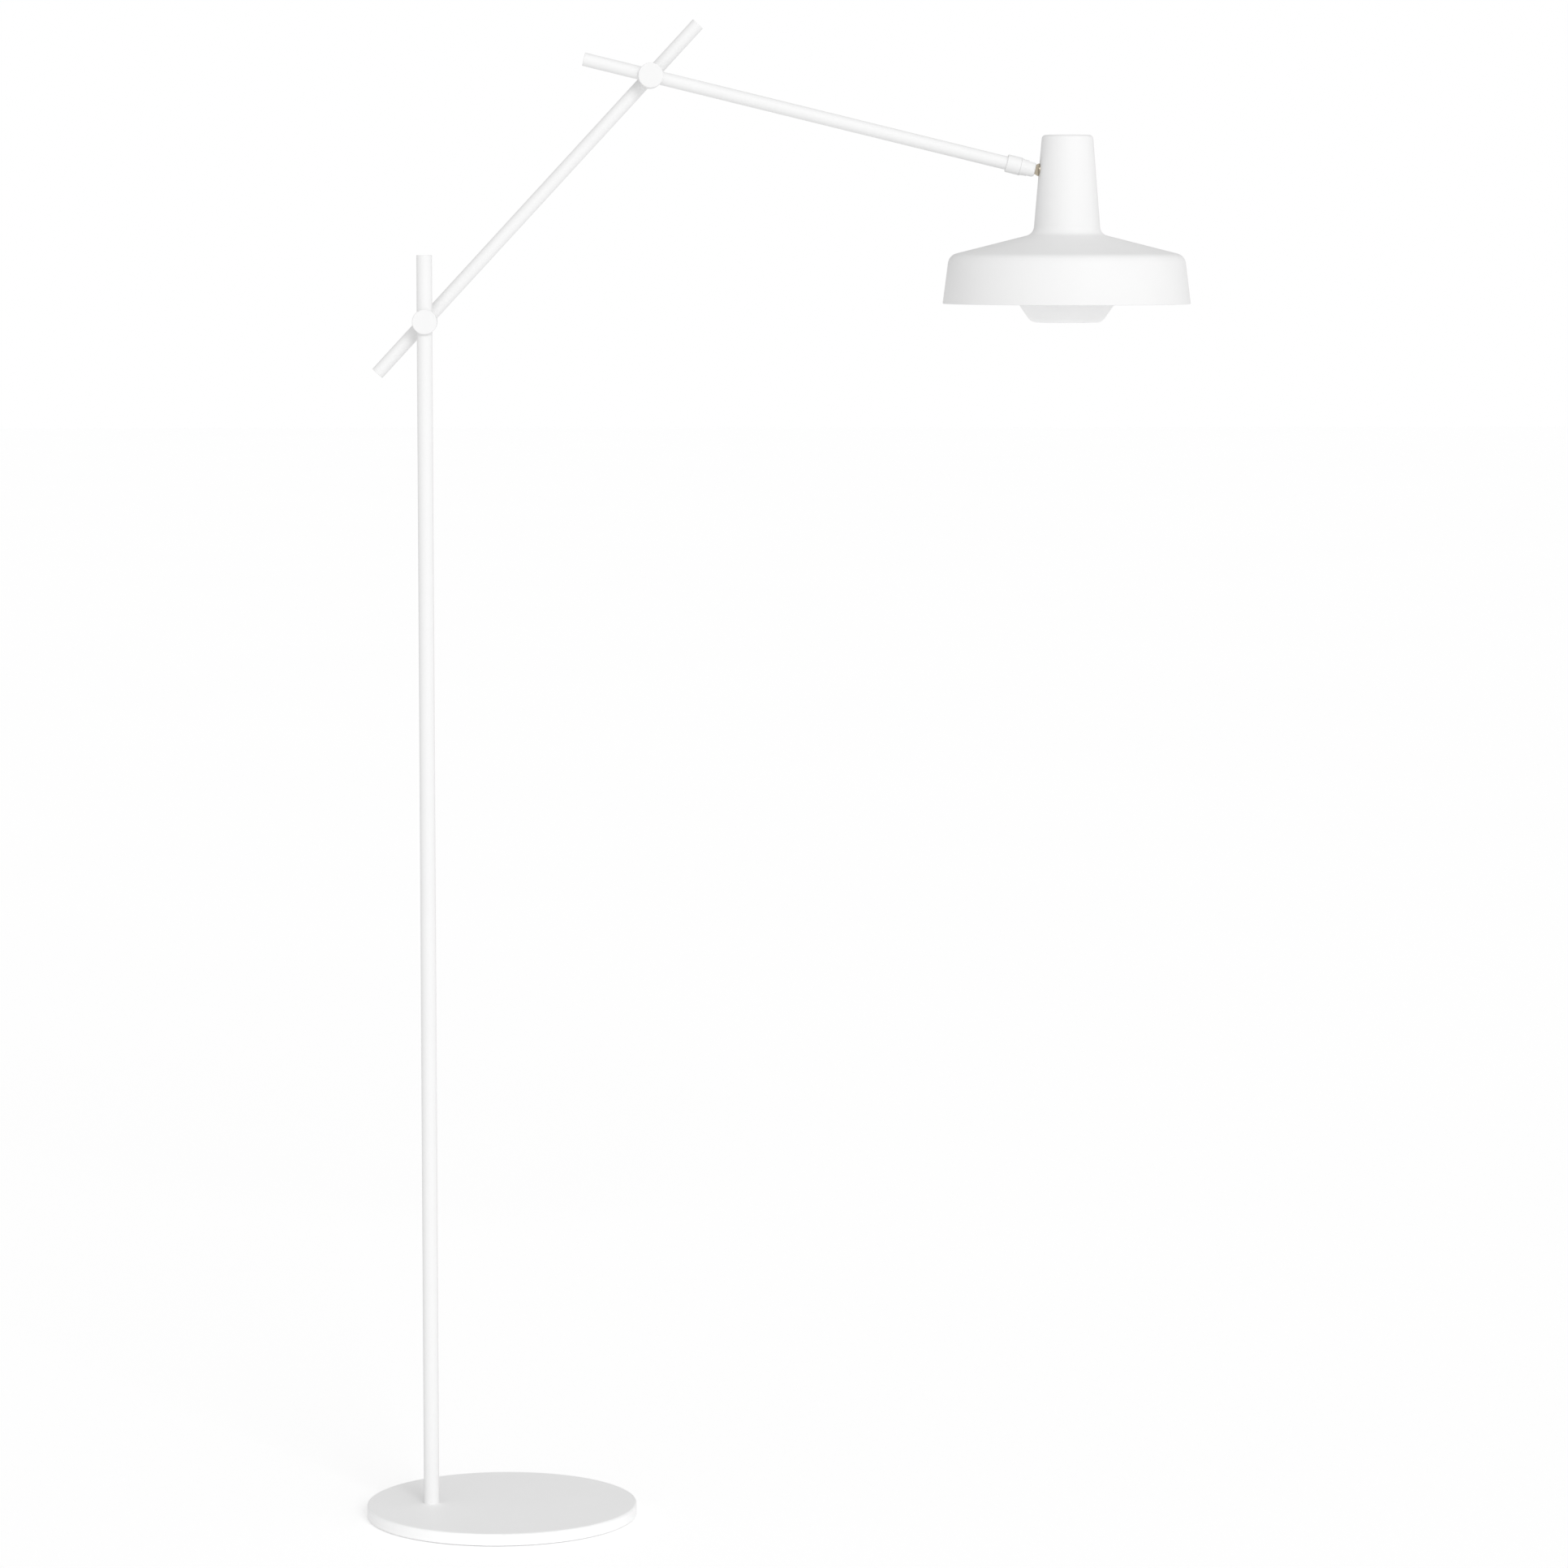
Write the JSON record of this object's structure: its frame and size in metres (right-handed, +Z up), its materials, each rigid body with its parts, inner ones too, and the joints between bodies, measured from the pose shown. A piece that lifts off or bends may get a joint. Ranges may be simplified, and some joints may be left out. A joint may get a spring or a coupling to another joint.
{
  "type": "floor lamp",
  "caption": "Floor lamp with a round base, a straight pole and two friction-hinged arms that carry a swivelling, tilting cone shade.",
  "frame": {"origin": "centre of the base's underside, on the floor", "axes": "+Z up, +X from the pole towards the shade, -Y the front where the flat hinge faces show"},
  "size_m": [0.8034, 0.265, 1.4609],
  "materials": {
    "pole_paint": "matt white powder coat",
    "base_paint": "matt white powder coat",
    "shade_paint": "matt white powder coat on spun aluminium",
    "brass": "brushed, slightly dark",
    "opal_plastic": "opal diffuser, satin",
    "felt": "pressed felt pad",
    "zinc_steel": "zinc plated",
    "washer_plastic": "nylon, natural",
    "black_plastic": "fine texture",
    "holder_plastic": "white thermoplastic",
    "bulb_glass": "opal globe",
    "bulb_metal": "threaded shell",
    "wire_sheath": "white PVC sheath"
  },
  "bodies": {
    "stand": {"base_plate": "base_paint", "base_felt": "felt", "foot_bolt": "zinc_steel", "foot_washer": "zinc_steel", "pole_plug": "zinc_steel", "pole_tube": "pole_paint", "pole_cap": "pole_paint", "cord_inlet_bush": "black_plastic", "pole_wire": "wire_sheath", "lower_front_knuckle": "pole_paint", "lower_front_cap": "pole_paint", "lower_hinge_bolt": "zinc_steel", "lower_friction_washer": "washer_plastic", "lower_spring_washer": "zinc_steel", "lower_hinge_nut": "zinc_steel"},
    "lower_arm": {"lower_arm_tube": "pole_paint", "lower_arm_bottom_cap": "pole_paint", "lower_arm_top_cap": "pole_paint", "lower_rear_knuckle": "pole_paint", "lower_rear_cap": "pole_paint", "upper_rear_knuckle": "pole_paint", "upper_rear_cap": "pole_paint", "upper_hinge_bolt": "zinc_steel", "upper_hinge_nut": "zinc_steel", "upper_spring_washer": "zinc_steel", "upper_friction_washer": "washer_plastic", "lower_arm_wire": "wire_sheath"},
    "upper_arm": {"upper_front_knuckle": "pole_paint", "upper_front_cap": "pole_paint", "upper_arm_tube": "pole_paint", "upper_arm_cap": "pole_paint", "arm_collar": "pole_paint", "swivel_friction_ring": "washer_plastic", "upper_arm_wire": "wire_sheath"},
    "swivel": {"swivel_fork": "pole_paint", "swivel_nut": "brass", "tilt_pins": "pole_paint", "swivel_wire": "wire_sheath"},
    "head": {"tilt_knuckle": "brass", "knuckle_nut": "zinc_steel", "holder_bracket": "zinc_steel", "lamp_holder": "holder_plastic", "holder_nut": "zinc_steel", "bulb_cap": "bulb_metal", "bulb_globe": "bulb_glass", "shade": "shade_paint", "diffuser": "opal_plastic", "gallery_ring": "shade_paint", "gallery_screws": "zinc_steel", "head_wire": "wire_sheath"}
  },
  "joints": [
    {"name": "lower_elbow", "type": "hinge", "parent": "stand", "child": "lower_arm", "pos_m": [-0.0693, 0, 1.171], "axis": [0, 1, 0], "range_deg": [-60, 45]},
    {"name": "upper_elbow", "type": "hinge", "parent": "lower_arm", "child": "upper_arm", "pos_m": [0.1486, 0, 1.40672], "axis": [0, 1, 0], "range_deg": [-75, 45]},
    {"name": "head_turn", "type": "hinge", "parent": "upper_arm", "child": "swivel", "pos_m": [0.50531, 0, 1.32042], "axis": [0.972, 0, -0.2351], "range_deg": [-170, 170]},
    {"name": "shade_tilt", "type": "hinge", "parent": "swivel", "child": "head", "pos_m": [0.516, 0, 1.31783], "axis": [0, 1, 0], "range_deg": [-30, 45]}
  ]
}
